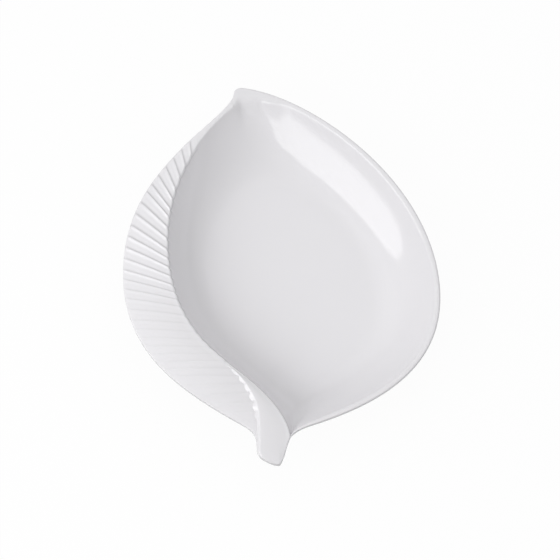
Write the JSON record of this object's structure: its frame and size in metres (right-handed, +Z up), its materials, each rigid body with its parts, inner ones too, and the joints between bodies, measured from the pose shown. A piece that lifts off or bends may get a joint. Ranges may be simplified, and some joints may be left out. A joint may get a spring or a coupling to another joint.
{
  "type": "leaf shaped serving plate",
  "caption": "Deep leaf-shaped serving plate of white glazed porcelain: a smooth hollow, a ribbed wing beside it and a short stem handle.",
  "frame": {"origin": "on the table, under the middle of the plate's length and width", "axes": "+Y runs from the end of the stem to the leaf's tip, +X to the free rim of the hollow and +Z up"},
  "size_m": [0.2179, 0.28, 0.037],
  "materials": {
    "glaze": "gloss",
    "bisque": "matte"
  },
  "bodies": {
    "root": {"dish": "glaze", "ribbed_wing": "glaze", "stem": "glaze", "foot_ring": "bisque"}
  },
  "joints": []
}
